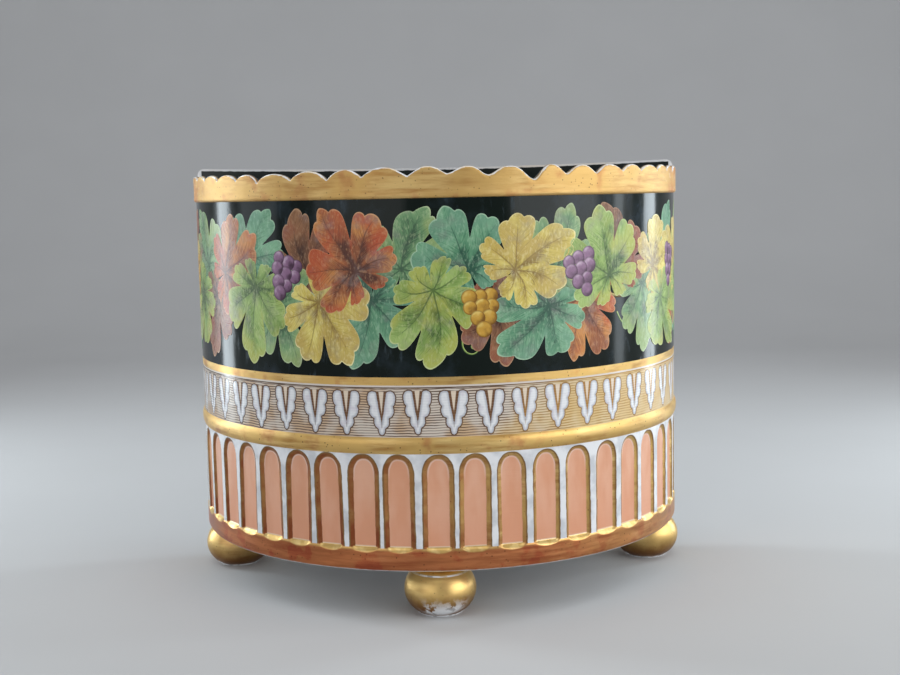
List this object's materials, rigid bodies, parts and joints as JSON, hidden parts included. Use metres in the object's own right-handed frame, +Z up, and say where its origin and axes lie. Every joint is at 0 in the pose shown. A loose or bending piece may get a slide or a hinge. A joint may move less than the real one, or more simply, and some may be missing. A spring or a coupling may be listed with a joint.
{
  "type": "bough pot",
  "caption": "Half-round footed flower pot with a flat back, scalloped gilt lip, painted frieze, fluted arcade and a loose pierced cover for boughs.",
  "frame": {"origin": "on the table, under the middle of the pot's box", "axes": "+Z up, front curve towards -Y, flat back towards +Y, +X to the right seen from the front"},
  "size_m": [0.218, 0.113, 0.1802],
  "materials": {
    "decorated_porcelain": "glossy glaze, painted and gilt",
    "white_porcelain": "glossy glaze",
    "gilt_porcelain": "soft gilding, worn"
  },
  "bodies": {
    "pot": {"front_wall": "decorated_porcelain", "back_wall": "white_porcelain", "base_slab": "white_porcelain", "front_ledge": "white_porcelain", "back_ledge": "white_porcelain", "foot_front": "gilt_porcelain", "foot_left": "gilt_porcelain", "foot_right": "gilt_porcelain"},
    "cover": {"cover_plate": "decorated_porcelain", "cover_collars": "gilt_porcelain"}
  },
  "joints": [
    {"name": "cover_lift", "type": "slide", "parent": "pot", "child": "cover", "axis": [0, 0, 1], "range_m": [0, 0.06]}
  ]
}
